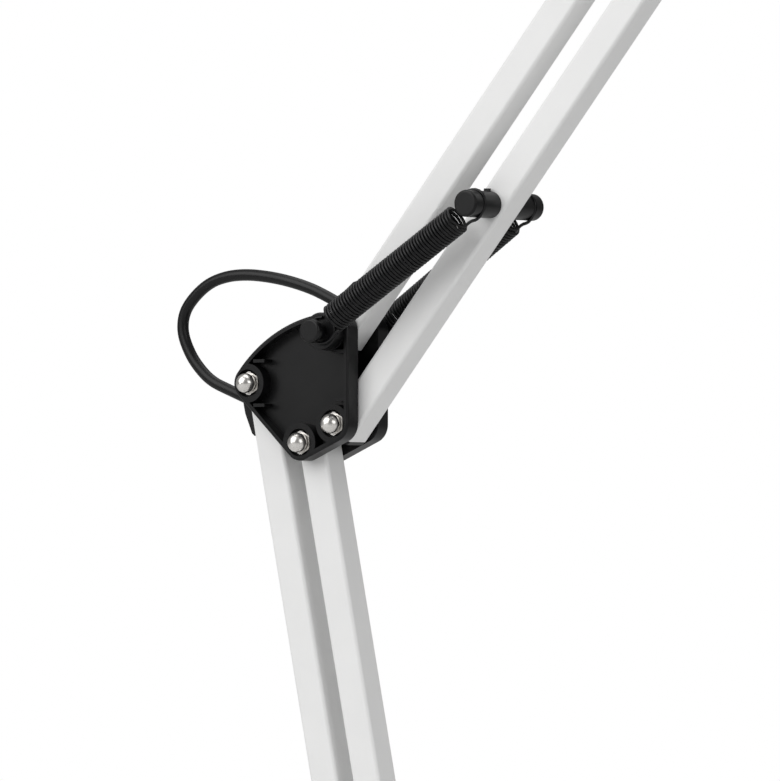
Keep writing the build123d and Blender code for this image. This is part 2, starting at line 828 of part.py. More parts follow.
def cable_tongues(node, places, loops):
    """Tapered hoods, each clipped over the hole where a loop of cable leaves a tube's face."""
    with BuildPart() as tongues:
        for origin, direction, side in places:
            top = tongue_height
            outline = [
                (0.0, 0.0),
                (0.0, top - 2.0),
                (0.8, top - 0.8),
                (2.6, top),
                (6.5, top - 0.1),
                (tongue_length - 1.2, top - 1.7),
                (tongue_length, top - 2.6),
                (tongue_length, 0.0),
            ]
            face = [along(origin, direction, s, side * (tube_half + h)) for s, h in outline]
            with BuildSketch(Plane.XZ.offset(-tongue_width / 2)):
                with BuildLine():
                    Polyline(*face, close=True)
                make_face()
            extrude(amount=tongue_width)
        for loop in loops:
            add(loop, mode=Mode.SUBTRACT)
    keep(node, tongues.part)


def inner_cable(node, pivot, direction, start, end):
    """The straight run of cable inside a tube, between its two tongues."""
    with BuildPart() as cable:
        with BuildSketch(across_tube(along(pivot, direction, start), direction)):
            Circle(cable_radius)
        extrude(amount=end - start)
    keep(node, cable.part)


def spring_posts(node, point):
    """Two grooved posts on a tube; the front one's spigot goes through to the rear one."""
    groove_start = tube_half + post_base_length
    head_start = groove_start + post_groove_width
    with BuildPart() as post:
        with BuildSketch(Plane.XY.offset(tube_half)):
            Circle(post_radius)
        extrude(amount=post_base_length)
        with BuildSketch(Plane.XY.offset(groove_start)):
            Circle(post_groove_radius)
        extrude(amount=post_groove_width)
        with BuildSketch(Plane.XY.offset(head_start)):
            Circle(post_radius)
        extrude(amount=post_head_length)
        fillet(post.edges().group_by(Axis.Z)[-1], radius=0.9)
        with Locations((0, post_radius, tube_half + 2 * post_nub_radius)):
            Box(2 * post_nub_radius, 2 * post_nub_radius, 2 * post_nub_radius)
    with BuildPart() as rear_post:
        add(post.part)
        with BuildSketch(Plane.XY.offset(tube_half)):
            Circle(post_spigot_radius + running)
        extrude(amount=post_base_length, mode=Mode.SUBTRACT)
    with BuildPart() as placed_rear:
        with Locations(facing_front(point)):
            add(rear_post.part)
    with BuildPart() as pair:
        with Locations(facing_front(point)):
            add(post.part)
        with BuildSketch(Plane(facing_front(point, -groove_start + bolt_tip_gap))):
            Circle(post_spigot_radius)
        extrude(amount=groove_start + tube_half)
        mirror(placed_rear.part, about=Plane.XZ)
    keep(node, pair.part)


far_slot = far_tongue_start + tongue_start + 2.5
near_slot = tongue_start + 5.5
lower_down = reverse(lower_up)
upper_back = reverse(upper_out)
square_tube(
    "lower_tube_rear",
    foot_a,
    lower_up,
    lower_arm_length,
    (far_slot, lower_arm_length - near_slot),
)
square_tube("lower_tube_front", foot_b, lower_up, lower_arm_length, (), foot_post)
square_tube(
    "upper_tube_rear",
    elbow_p,
    upper_out,
    upper_arm_length,
    (near_slot, upper_arm_length - far_slot),
)
square_tube("upper_tube_front", elbow_c, upper_out, upper_arm_length, (), elbow_post)
end_inserts("lower_rear_inserts", foot_a, lower_up, lower_arm_length)
end_inserts("lower_front_inserts", foot_b, lower_up, lower_arm_length)
end_inserts("upper_rear_inserts", elbow_p, upper_out, upper_arm_length)
end_inserts("upper_front_inserts", elbow_c, upper_out, upper_arm_length)
foot_tongue = along(foot_a, lower_up, far_tongue_start)
elbow_low_tongue = along(elbow_a, lower_down, tongue_start)
elbow_high_tongue = along(elbow_p, upper_out, tongue_start)
head_tongue = along(head_p, upper_back, far_tongue_start)
cable_tongues(
    "lower_cable_tongues",
    [(foot_tongue, lower_up, 1), (elbow_low_tongue, lower_down, -1)],
    [foot_loop, elbow_loop_lower],
)
cable_tongues(
    "upper_cable_tongues",
    [(elbow_high_tongue, upper_out, 1), (head_tongue, upper_back, -1)],
    [elbow_loop_upper, head_loop],
)
inner_cable("lower_cable", foot_a, lower_up, far_slot, lower_arm_length - near_slot)
inner_cable("upper_cable", elbow_p, upper_out, near_slot, upper_arm_length - far_slot)
spring_posts("foot_spring_posts", foot_post)
spring_posts("elbow_spring_posts", elbow_post)


# ---------------------------------------------------------------- balance springs
def balance_springs(node, peg, post):
    """A pair of close-wound springs from the pegs to the posts: the coils with their lower
    hooks in one node, and the upper hooks, which travel as the springs stretch, in another."""
    ring_radius = spring_radius - spring_wire / 2
    peg_slack = ring_radius - spring_wire / 2 - peg_neck_radius - hole_clearance
    post_slack = ring_radius - spring_wire / 2 - post_groove_radius - hole_clearance
    peg_places = [Vector(peg[0], side * peg_groove_y, peg[1]) for side in (-1, 1)]
    post_places = [Vector(post[0], side * post_groove_y, post[1]) for side in (-1, 1)]
    with BuildPart() as coils:
        for start, end in zip(peg_places, post_places):
            way = (end - start).normalized()
            hooked = Plane(origin=start, x_dir=(0, 1, 0), z_dir=way)
            coil_length = (end - start).length - peg_reach - post_reach
            with BuildSketch(hooked.offset(peg_reach)):
                Circle(spring_radius)
            extrude(amount=coil_length)
            with BuildSketch(hooked.offset(peg_reach + spring_wire)):
                Circle(spring_radius - spring_wire)
            extrude(amount=coil_length - 2 * spring_wire, mode=Mode.SUBTRACT)
            with BuildSketch(hooked.offset(ring_radius + peg_slack)):
                Circle(spring_wire / 2)
            extrude(amount=peg_reach - ring_radius - peg_slack)
            with Locations(Location(start + way * peg_slack, (90, 0, 0))):
                Torus(ring_radius, spring_wire / 2)
    keep(f"{node}_springs", coils.part)
    with BuildPart() as hooks:
        for start, end in zip(peg_places, post_places):
            way = (start - end).normalized()
            hooked = Plane(origin=end, x_dir=(0, 1, 0), z_dir=way)
            with BuildSketch(hooked.offset(ring_radius + post_slack)):
                Circle(spring_wire / 2)
            extrude(amount=post_reach - ring_radius - post_slack - hinge_gap)
            with Locations(Location(end + way * post_slack, (90, 0, 0))):
                Torus(ring_radius, spring_wire / 2)
    keep(f"{node}_spring_hooks", hooks.part)
    print(node, "spring reach", round((post_places[0] - peg_places[0]).length, 2))


balance_springs("foot", foot_a, foot_post)
balance_springs("elbow", elbow_p, elbow_post)

# ---------------------------------------------------------------- head bracket
grommet = shifted(head_p, grommet_place)
with BuildPart() as head_grommet:
    with Locations((grommet[0], 0, grommet[1])):
        Box(grommet_width, 2 * plate_inner, grommet_height)
    chamfer(head_grommet.edges().group_by(Axis.Z)[-1], length=1.2)
    with Locations((grommet[0], 0, grommet[1] + grommet_height / 2)):
        Cylinder(cable_radius + 0.3, 2 * grommet_height, mode=Mode.SUBTRACT)
keep("head_grommet", head_grommet.part)

with BuildPart() as tilt_knob:
    with BuildSketch():
        Circle(knob_radius)
        with PolarLocations(knob_radius + 1.2, knob_flutes):
            Circle(2.6, mode=Mode.SUBTRACT)
    extrude(amount=knob_height)
    fillet(tilt_knob.edges().group_by(Axis.Z)[-1], radius=1.2)
    with BuildSketch():
        Circle(bolt_radius + running)
    extrude(amount=nut_dome_lift, mode=Mode.SUBTRACT)
with BuildPart() as placed_knob:
    with Locations(facing_front(head_t, plate_outer)):
        add(tilt_knob.part)
    with BuildSketch(Plane.XZ.offset(nut_seat)):
        with Locations(head_t):
            Circle(nut_pocket_radius - hole_clearance)
            Circle(bolt_radius + running, mode=Mode.SUBTRACT)
    extrude(amount=nut_pocket_depth)
keep("tilt_knob", placed_knob.part)

eye_half = plate_inner - hinge_gap
with BuildPart() as head_yoke:
    with BuildSketch(Plane.XZ.offset(-eye_half)):
        with Locations(head_t):
            Circle(yoke_eye_radius)
    extrude(amount=2 * eye_half)
    with Locations((head_t[0] + yoke_length / 2, 0, head_t[1])):
        Box(yoke_length, yoke_bar_width, yoke_bar_height)
    hub_middle = hub_end_x - yoke_hub_length / 2
    with Locations(Location((hub_middle, 0, head_t[1]), (0, 90, 0))):
        Cylinder(yoke_hub_radius, yoke_hub_length)
    fillet(head_yoke.edges().group_by(Axis.X)[-1], radius=1.0)
    with Locations(facing_front(head_t)):
        Cylinder(bolt_radius + running, 4 * eye_half, mode=Mode.SUBTRACT)
    with Locations(Location((hub_end_x, 0, head_t[1]), (0, 90, 0))):
        Cylinder(stem_radius + running, 2 * (yoke_hub_length - 2), mode=Mode.SUBTRACT)
keep("head_yoke", head_yoke.part)

# ---------------------------------------------------------------- shade, lampholder and bulb
shade_axis = Axis((shade_x, 0, 0), (0, 0, 1))
neck_turn = 22.0


def bell_line(offset):
    """Half of the shade's section, drawn inwards from its outer skin by an offset."""
    top = cap_top - offset
    radius = cap_radius - offset
    mouth = shade_mouth_radius - offset
    corner = cap_round - offset
    Line((0, top), (radius - corner, top))
    JernArc((radius - corner, top), (1, 0), corner, -90)
    Line((radius, top - corner), (radius, cap_bottom))
    Spline(
        (radius, cap_bottom),
        (radius + (mouth - radius) * 0.62, cap_bottom - (cap_bottom - mouth_z) * 0.42),
        (mouth, mouth_z),
        tangents=[(0, -1), (0.16, -1)],
    )
    return (mouth, mouth_z)


shade_plane = Plane(origin=(shade_x, 0, 0), x_dir=(1, 0, 0), z_dir=(0, -1, 0))
with BuildPart() as shade:
    with BuildSketch(shade_plane):
        with BuildLine():
            rim = bell_line(0.0)
            Line(rim, (0, rim[1]))
            Line((0, rim[1]), (0, cap_top))
        make_face()
    revolve(axis=shade_axis)
    with BuildSketch(shade_plane):
        with BuildLine():
            rim = bell_line(shade_wall)
            Line(rim, (0, rim[1]))
            Line((0, rim[1]), (0, cap_top - shade_wall))
        make_face()
    revolve(axis=shade_axis, mode=Mode.SUBTRACT)
    with Locations((shade_x, 0, mouth_z)):
        Torus(shade_mouth_radius - shade_wall / 2, mouth_bead)
    with BuildSketch(Plane(origin=(shade_x, 0, cap_top - 3 * shade_wall))):
        with PolarLocations(holder_radius + vent_offset, vent_count, start_angle=15):
            SlotOverall(6.0, 2.2)
    extrude(amount=6 * shade_wall, mode=Mode.SUBTRACT)
    with Locations(Location((shade_x - cap_radius, 0, stem_z), (0, 90, 0))):
        Cylinder(stem_radius + hole_clearance, 8 * shade_wall, mode=Mode.SUBTRACT)
    with Locations((shade_x, 0, cap_top)):
        Cylinder(button_radius + 1, 4 * shade_wall, mode=Mode.SUBTRACT)
with BuildPart() as shade_cap:
    add(shade.part)
    split(bisect_by=Plane.XY.offset(cap_bottom), keep=Keep.TOP)
with BuildPart() as shade_bell:
    add(shade.part)
    split(bisect_by=Plane.XY.offset(cap_bottom), keep=Keep.BOTTOM)
keep("shade_cap", shade_cap.part)
keep("shade_bell", shade_bell.part)

nut_start_x = shade_x - cap_radius + shade_wall
with BuildPart() as shade_stem:
    stem_start = hub_end_x - yoke_hub_length + 2 + hinge_gap
    stem_end = nut_start_x + stem_nut_height
    with BuildSketch(Plane(origin=(stem_start, 0, stem_z), z_dir=(1, 0, 0))):
        Circle(stem_radius)
    extrude(amount=stem_end - stem_start)
    with BuildSketch(Plane(origin=(hub_end_x + hinge_gap, 0, stem_z), z_dir=(1, 0, 0))):
        Circle(stem_collar_radius)
    extrude(amount=stem_collar + 2 * stem_saddle)
    with Locations((shade_x, 0, stem_z)):
        Cylinder(cap_radius + running, 2 * cap_below_stem, mode=Mode.SUBTRACT)
    with BuildSketch(Plane(origin=(stem_start, 0, stem_z), z_dir=(1, 0, 0))):
        Circle(stem_radius)
    extrude(amount=stem_end - stem_start)
    chamfer(shade_stem.edges().group_by(Axis.X)[0], length=0.5)
keep("shade_stem", shade_stem.part)

with BuildPart() as stem_nut:
    with BuildSketch(Plane(origin=(nut_start_x + 0.9, 0, stem_z), z_dir=(1, 0, 0))):
        RegularPolygon(6.5, 6, major_radius=False)
        Circle(stem_radius + running, mode=Mode.SUBTRACT)
    extrude(amount=stem_nut_height - 0.9)
keep("stem_nut", stem_nut.part)

holder_top = cap_top - shade_wall - 0.05
holder_bottom = holder_top - holder_length
with BuildPart() as lampholder:
    with BuildSketch(Plane(origin=(shade_x, 0, holder_bottom))):
        Circle(holder_radius)
    extrude(amount=holder_length)
    fillet(lampholder.edges().group_by(Axis.Z)[0], radius=2.0)
    with BuildSketch(Plane(origin=(shade_x, 0, holder_bottom))):
        Circle(thread_radius + running)
    extrude(amount=thread_depth, mode=Mode.SUBTRACT)
    with BuildSketch(Plane(origin=(shade_x, 0, holder_top))):
        Circle(button_radius + 1)
    extrude(amount=-8, mode=Mode.SUBTRACT)
keep("lampholder", lampholder.part)

bulb_bottom = holder_bottom - bulb_below_holder
bulb_centre = bulb_bottom + bulb_radius
neck_radius = thread_radius - 0.4
with BuildPart() as bulb_cap:
    with BuildSketch(Plane(origin=(shade_x, 0, holder_bottom - 2))):
        Circle(thread_radius)
    extrude(amount=thread_depth - 1)
    chamfer(bulb_cap.edges().group_by(Axis.Z)[-1], length=3.0)
keep("bulb_cap", bulb_cap.part)


def bulb_line(offset):
    """Half of the bulb's section, drawn inwards from its outer skin by an offset."""
    radius = bulb_radius - offset
    neck = neck_radius - offset
    leave = polar(38)
    shoulder = (radius * leave[0], bulb_centre + radius * leave[1])
    ThreePointArc(
        (0, bulb_centre - radius),
        (radius * polar(-26)[0], bulb_centre + radius * polar(-26)[1]),
        shoulder,
    )
    Spline(
        shoulder,
        (neck, holder_bottom - 2),
        tangents=[(-leave[1], leave[0]), (-0.12, 1)],
    )
    return bulb_centre - radius, neck


with BuildPart() as bulb_glass:
    with BuildSketch(shade_plane):
        with BuildLine():
            low, neck = bulb_line(0.0)
            Line((neck, holder_bottom - 2), (0, holder_bottom - 2))
            Line((0, holder_bottom - 2), (0, low))
        make_face()
    revolve(axis=shade_axis)
    with BuildSketch(shade_plane):
        with BuildLine():
            low, neck = bulb_line(bulb_wall)
            Line((neck, holder_bottom - 2), (0, holder_bottom - 2))
            Line((0, holder_bottom - 2), (0, low))
        make_face()
    revolve(axis=shade_axis, mode=Mode.SUBTRACT)
keep("bulb_glass", bulb_glass.part)

with BuildPart() as switch_housing:
    with BuildSketch(Plane(origin=(shade_x, 0, cap_top))):
        Circle(switch_radius)
    extrude(amount=switch_height)
    fillet(switch_housing.edges().group_by(Axis.Z)[-1], radius=1.5)
    with BuildSketch(Plane(origin=(shade_x, 0, cap_top - 6))):
        Circle(button_radius + 0.9)
    extrude(amount=6)
    with BuildSketch(Plane(origin=(shade_x, 0, cap_top - 2))):
        Circle(button_radius + running)
    extrude(amount=switch_height + 4, mode=Mode.SUBTRACT)
keep("switch_housing", switch_housing.part)

with BuildPart() as switch_button:
    with BuildSketch(Plane(origin=(shade_x, 0, cap_top + switch_height + 2.2 - button_height))):
        Circle(button_radius)
    extrude(amount=button_height)
    fillet(switch_button.edges().group_by(Axis.Z)[-1], radius=0.9)
keep("switch_button", switch_button.part)
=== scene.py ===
import json
import math

import bpy
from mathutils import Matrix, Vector


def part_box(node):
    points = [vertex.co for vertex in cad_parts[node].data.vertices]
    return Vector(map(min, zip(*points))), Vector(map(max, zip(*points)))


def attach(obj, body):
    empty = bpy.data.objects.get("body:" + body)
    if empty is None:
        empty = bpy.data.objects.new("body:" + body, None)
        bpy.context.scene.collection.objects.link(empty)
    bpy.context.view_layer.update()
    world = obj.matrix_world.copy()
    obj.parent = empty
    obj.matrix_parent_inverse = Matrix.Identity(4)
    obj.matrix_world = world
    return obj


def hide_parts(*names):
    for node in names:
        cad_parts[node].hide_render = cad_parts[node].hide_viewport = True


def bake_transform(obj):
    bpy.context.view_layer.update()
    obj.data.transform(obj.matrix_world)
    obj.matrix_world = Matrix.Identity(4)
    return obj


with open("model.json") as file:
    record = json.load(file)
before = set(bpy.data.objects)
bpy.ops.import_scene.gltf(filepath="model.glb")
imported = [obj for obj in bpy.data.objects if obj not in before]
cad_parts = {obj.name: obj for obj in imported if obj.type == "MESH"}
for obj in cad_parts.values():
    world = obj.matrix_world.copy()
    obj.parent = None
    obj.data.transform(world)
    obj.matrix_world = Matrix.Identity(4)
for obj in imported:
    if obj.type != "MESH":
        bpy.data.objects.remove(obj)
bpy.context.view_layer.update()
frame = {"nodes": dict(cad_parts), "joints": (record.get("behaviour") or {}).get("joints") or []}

nodes = frame["nodes"]
bpy.ops.object.select_all(action="DESELECT")

# ------------------------------------------------------------------ camera and studio
# A long lens looks slightly upwards at the elbow from the lamp's front right. The lamp
# stands on a plain white floor, in even white light with one soft key and one soft fill.
bpy.ops.object.camera_add(
    location=(1.7493, -2.5979, 0.3948),
    rotation=(math.radians(91.18), 0, math.radians(34.41)),
)
camera = bpy.context.object
camera.data.sensor_width = 36
camera.data.lens = 390.1
camera.data.clip_end = 50
bpy.context.scene.camera = camera
bpy.context.scene.view_settings.view_transform = "Standard"

world = bpy.data.worlds.new("studio")
world.use_nodes = True
bpy.context.scene.world = world
sky = world.node_tree.nodes["Background"]
sky.inputs["Color"].default_value = (1, 1, 1, 1)
seen = world.node_tree.nodes.new("ShaderNodeLightPath")
strength = world.node_tree.nodes.new("ShaderNodeMapRange")
strength.inputs["To Min"].default_value = 0.25
strength.inputs["To Max"].default_value = 1.0
world.node_tree.links.new(seen.outputs["Is Camera Ray"], strength.inputs["Value"])
world.node_tree.links.new(strength.outputs["Result"], sky.inputs["Strength"])


def soft_light(name, place, aim, size, power):
    """A square area light that faces a point."""
    bpy.ops.object.light_add(type="AREA", location=place)
    light = bpy.context.object
    light.name = name
    light.data.shape = "SQUARE"
    light.data.size = size
    light.data.energy = power
    light.rotation_euler = (Vector(aim) - Vector(place)).to_track_quat("-Z", "Y").to_euler()


soft_light("key", (-1.0, -2.3, 2.1), (0, 0, 0.6), 3.0, 74)
soft_light("fill", (2.6, -0.6, 1.3), (0, 0, 0.5), 1.6, 17)
soft_light("top", (0.1, 0.5, 2.8), (0.1, 0, 0), 2.4, 30)

bpy.ops.mesh.primitive_circle_add(vertices=96, radius=12, fill_type="NGON")
floor = bpy.context.object
floor.name = "floor"
paper = bpy.data.materials.new("studio_paper")
paper.use_nodes = True
paper_shader = paper.node_tree.nodes["Principled BSDF"]
paper_shader.inputs["Base Color"].default_value = (0.70, 0.70, 0.70, 1)
paper_shader.inputs["Roughness"].default_value = 0.9
paper_shader.inputs["Specular IOR Level"].default_value = 0.1
floor.data.materials.append(paper)
bpy.ops.object.select_all(action="DESELECT")

# ------------------------------------------------------------------ mains lead and coil
# Round black PVC lead, 4.4 mm across. It leaves the relief at the base's edge, sinks to
# the table, and its spare length lies in a tied coil of three columns and four layers.


def surface_group():
    """Grain, mottling and a lighter colour along edges and corners, in patches, that is a painted
    edge highlight together with soft wear; for any finish, as colour, roughness and height.
    """
    group = bpy.data.node_groups.new("surface_detail", "ShaderNodeTree")
    sockets = group.interface
    for name, kind, value in (
        ("Colour", "NodeSocketColor", (0.5, 0.5, 0.5, 1)),
        ("Highlight And Wear Colour", "NodeSocketColor", (0.6, 0.6, 0.6, 1)),
        ("Grain Scale", "NodeSocketFloat", 1500.0),
        ("Mottle Scale", "NodeSocketFloat", 40.0),
        ("Mottle", "NodeSocketFloat", 0.1),
        ("Roughness", "NodeSocketFloat", 0.4),
        ("Roughness Change", "NodeSocketFloat", 0.1),
        ("Edge Wear", "NodeSocketFloat", 0.3),
    ):
        socket = sockets.new_socket(name, in_out="INPUT", socket_type=kind)
        socket.default_value = value
    sockets.new_socket("Colour", in_out="OUTPUT", socket_type="NodeSocketColor")
    sockets.new_socket("Roughness", in_out="OUTPUT", socket_type="NodeSocketFloat")
    sockets.new_socket("Height", in_out="OUTPUT", socket_type="NodeSocketFloat")
    tree = group.nodes
    link = group.links.new
    given = tree.new("NodeGroupInput")
    result = tree.new("NodeGroupOutput")
    place = tree.new("ShaderNodeTexCoord")
    grain = tree.new("ShaderNodeTexNoise")
    grain.inputs["Detail"].default_value = 3
    mottle = tree.new("ShaderNodeTexNoise")
    mottle.inputs["Detail"].default_value = 4
    link(place.outputs["Object"], grain.inputs["Vector"])
    link(place.outputs["Object"], mottle.inputs["Vector"])
    link(given.outputs["Grain Scale"], grain.inputs["Scale"])
    link(given.outputs["Mottle Scale"], mottle.inputs["Scale"])
    rounded = tree.new("ShaderNodeBevel")
    rounded.samples = 4
    rounded.inputs["Radius"].default_value = 0.0006
    shape = tree.new("ShaderNodeNewGeometry")
    turn = tree.new("ShaderNodeVectorMath")
    turn.operation = "DOT_PRODUCT"
    link(rounded.outputs["Normal"], turn.inputs[0])
    link(shape.outputs["Normal"], turn.inputs[1])
    edge = tree.new("ShaderNodeMapRange")
    edge.inputs["From Min"].default_value = 0.999
    edge.inputs["From Max"].default_value = 0.86
    link(turn.outputs["Value"], edge.inputs["Value"])
    # Lighter colour along edges and corners, broken into patches by the mottle: a painted edge
    # highlight together with soft wear.
    highlight_and_wear_patches = tree.new("ShaderNodeMapRange")
    highlight_and_wear_patches.inputs["From Min"].default_value = 0.42
    highlight_and_wear_patches.inputs["From Max"].default_value = 0.62
    link(mottle.outputs["Fac"], highlight_and_wear_patches.inputs["Value"])
    highlight_and_wear = tree.new("ShaderNodeMath")
    highlight_and_wear.operation = "MULTIPLY"
    link(edge.outputs["Result"], highlight_and_wear.inputs[0])
    link(highlight_and_wear_patches.outputs["Result"], highlight_and_wear.inputs[1])
    highlight_and_wear_share = tree.new("ShaderNodeMath")
    highlight_and_wear_share.operation = "MULTIPLY"
    link(highlight_and_wear.outputs["Value"], highlight_and_wear_share.inputs[0])
    link(given.outputs["Edge Wear"], highlight_and_wear_share.inputs[1])
    mottle_span = tree.new("ShaderNodeMath")
    mottle_span.operation = "SUBTRACT"
    mottle_span.inputs[1].default_value = 0.5
    link(mottle.outputs["Fac"], mottle_span.inputs[0])
    mottle_depth = tree.new("ShaderNodeMath")
    mottle_depth.operation = "MULTIPLY_ADD"
    mottle_depth.inputs[2].default_value = 1.0
    link(mottle_span.outputs["Value"], mottle_depth.inputs[0])
    link(given.outputs["Mottle"], mottle_depth.inputs[1])
    shaded = tree.new("ShaderNodeVectorMath")
    shaded.operation = "SCALE"
    link(given.outputs["Colour"], shaded.inputs[0])
    link(mottle_depth.outputs["Value"], shaded.inputs["Scale"])
    coloured = tree.new("ShaderNodeMix")
    coloured.data_type = "RGBA"
    link(highlight_and_wear_share.outputs["Value"], coloured.inputs["Factor"])
    link(shaded.outputs["Vector"], coloured.inputs["A"])
    link(given.outputs["Highlight And Wear Colour"], coloured.inputs["B"])
    rough_span = tree.new("ShaderNodeMath")
    rough_span.operation = "MULTIPLY_ADD"
    link(mottle_span.outputs["Value"], rough_span.inputs[0])
    link(given.outputs["Roughness Change"], rough_span.inputs[1])
    link(given.outputs["Roughness"], rough_span.inputs[2])
    link(coloured.outputs["Result"], result.inputs["Colour"])
    link(rough_span.outputs["Value"], result.inputs["Roughness"])
    link(grain.outputs["Fac"], result.inputs["Height"])
    return group


surface_detail = surface_group()


def finish(name, colour, highlight_and_wear, grain, bump, rough, **settings):
    """A material with the shared surface detail; settings hold its other constants."""
    material = bpy.data.materials.new(name)
    material.use_nodes = True
    tree = material.node_tree
    shader = tree.nodes["Principled BSDF"]
    detail = tree.nodes.new("ShaderNodeGroup")
    detail.node_tree = surface_detail
    # The second colour goes along edges and corners: a painted edge highlight together with wear.
    detail.inputs["Colour"].default_value = (*colour, 1)
    detail.inputs["Highlight And Wear Colour"].default_value = (*highlight_and_wear, 1)
    detail.inputs["Grain Scale"].default_value = grain
    detail.inputs["Roughness"].default_value = rough
    detail.inputs["Mottle Scale"].default_value = settings.pop("mottle_scale", 45)
    detail.inputs["Mottle"].default_value = settings.pop("mottle", 0.12)
    detail.inputs["Roughness Change"].default_value = settings.pop("rough_change", 0.15)
    detail.inputs["Edge Wear"].default_value = settings.pop("wear", 0.25)
    relief = tree.nodes.new("ShaderNodeBump")
    relief.inputs["Strength"].default_value = bump
    relief.inputs["Distance"].default_value = settings.pop("bump_depth", 0.0001)
    tree.links.new(detail.outputs["Colour"], shader.inputs["Base Color"])
    tree.links.new(detail.outputs["Roughness"], shader.inputs["Roughness"])
    tree.links.new(detail.outputs["Height"], relief.inputs["Height"])
    tree.links.new(relief.outputs["Normal"], shader.inputs["Normal"])
    for socket, value in settings.items():
        shader.inputs[socket.replace("_", " ").title().replace("Ior", "IOR")].default_value = value
    return material


def dress(material, *names):
    """Gives the CAD nodes of these names a material in every slot."""
    for name in names:
        for held in nodes[name].material_slots:
            held.material = material


def route_curve(name, points, radius):
    """A round cord on one smooth spline, with the route's points as control points."""
    data = bpy.data.curves.new(name, "CURVE")
    data.dimensions = "3D"
    data.resolution_u = 6
    data.bevel_depth = radius
    data.bevel_resolution = 4
    data.use_fill_caps = True
    spline = data.splines.new("NURBS")
    spline.points.add(len(points) - 1)
    for held, point in zip(spline.points, points):
        held.co = (*point, 1)
    spline.order_u = 3
    spline.use_endpoint_u = True
    cord = bpy.data.objects.new(name, data)
    bpy.context.collection.objects.link(cord)
    return cord


cable_radius = 0.0022
pvc = finish(
    "black_pvc",
    (0.0032, 0.0032, 0.0035),
    (0.03, 0.03, 0.03),
    2200,
    0.1,
    0.36,
    wear=0.0,
    specular_ior_level=0.28,
)
relief_tip = (-0.136, 0.0, 0.007)
lead_points = [
    relief_tip,
    (-0.146, 0.0, 0.007),
    (-0.157, -0.0015, 0.005),
    (-0.169, -0.0065, 0.0028),
    (-0.182, -0.0145, 0.0024),
    (-0.196, -0.023, 0.0024),
    (-0.208, -0.0283, 0.0024),
]
tail_points = [
    (-0.212, 0.025, 0.0158),
    (-0.2035, 0.026, 0.0155),
    (-0.1935, 0.0298, 0.0134),
    (-0.1855, 0.0365, 0.0103),
    (-0.1798, 0.045, 0.008),
    (-0.1755, 0.0526, 0.0071),
]
coil_centre = Vector((-0.212, -0.002, 0.0024))
turn_pitch = 0.0045
column_radii = (0.027, 0.0225, 0.018)
points_per_turn = 16
first_angle = -98.0
turns = 11.45
coil_points = []
for step in range(int(turns * points_per_turn)):
    turn, share = divmod(step / points_per_turn, 1.0)
    layer, place = divmod(int(turn), 3)
    next_layer, next_place = divmod(int(turn) + 1, 3)
    here = place if layer % 2 == 0 else 2 - place
    after = next_place if next_layer % 2 == 0 else 2 - next_place
    shift = max(0.0, (share - 0.8) / 0.2)
    shift = shift * shift * (3 - 2 * shift)
    radius = column_radii[here] + (column_radii[after] - column_radii[here]) * shift
    height = (layer + (next_layer - layer) * shift) * turn_pitch
    angle = math.radians(first_angle - 360 * step / points_per_turn)
    coil_points.append(
        coil_centre + Vector((radius * math.cos(angle), radius * math.sin(angle), height))
    )
mains_flex = route_curve("mains_flex", lead_points + coil_points + tail_points, cable_radius)
mains_flex.data.materials.append(pvc)
dress(pvc, "base_cable_relief", "base_cable", "lower_cable", "upper_cable")

# The tie is a soft black strap, closed once round the coil's side.
tie_width = 0.009
tie_points = [
    (0.0142, 0.0005),
    (0.0306, 0.0005),
    (0.0306, 0.0182),
    (0.0142, 0.0182),
]
bpy.ops.mesh.primitive_plane_add(size=1, location=(0, 0, 0))
coil_tie = bpy.context.object
coil_tie.name = "coil_tie"
for vertex, (reach, height) in zip(coil_tie.data.vertices, tie_points):
    vertex.co = (coil_centre.x - reach, coil_centre.y - tie_width / 2, height)
bpy.ops.object.mode_set(mode="EDIT")
bpy.ops.mesh.select_all(action="SELECT")
bpy.ops.mesh.normals_make_consistent(inside=False)
bpy.ops.mesh.delete(type="ONLY_FACE")
bpy.ops.mesh.select_all(action="SELECT")
bpy.ops.mesh.extrude_region_move(TRANSFORM_OT_translate={"value": (0, tie_width, 0)})
bpy.ops.mesh.select_all(action="SELECT")
bpy.ops.mesh.normals_make_consistent(inside=False)
bpy.ops.object.mode_set(mode="OBJECT")
rounding = coil_tie.modifiers.new("rounding", "BEVEL")
rounding.width = 0.003
rounding.segments = 5
bpy.ops.object.modifier_apply(modifier="rounding")
wall = coil_tie.modifiers.new("wall", "SOLIDIFY")
wall.thickness = 0.0008
wall.offset = 0
bpy.ops.object.modifier_apply(modifier="wall")
bpy.ops.object.shade_smooth_by_angle(angle=math.radians(40))
strap = finish(
    "black_strap", (0.02, 0.02, 0.02), (0.05, 0.05, 0.05), 3500, 0.5, 0.8, wear=0.1
)
coil_tie.data.materials.append(strap)
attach(coil_tie, "base")
bpy.ops.object.select_all(action="DESELECT")

# The plug is one black moulding with two brass pins.
plug_black = finish(
    "plug_moulding", (0.014, 0.014, 0.015), (0.05, 0.05, 0.05), 1800, 0.2, 0.45, wear=0.2
)
dress(plug_black, "mains_plug")
brass = finish(
    "bright_brass",
    (0.75, 0.58, 0.28),
    (0.9, 0.75, 0.45),
    1200,
    0.06,
    0.24,
    metallic=1.0,
    rough_change=0.2,
)
dress(brass, "plug_pins")
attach(mains_flex, "base")
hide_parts("mains_lead", "mains_coil")
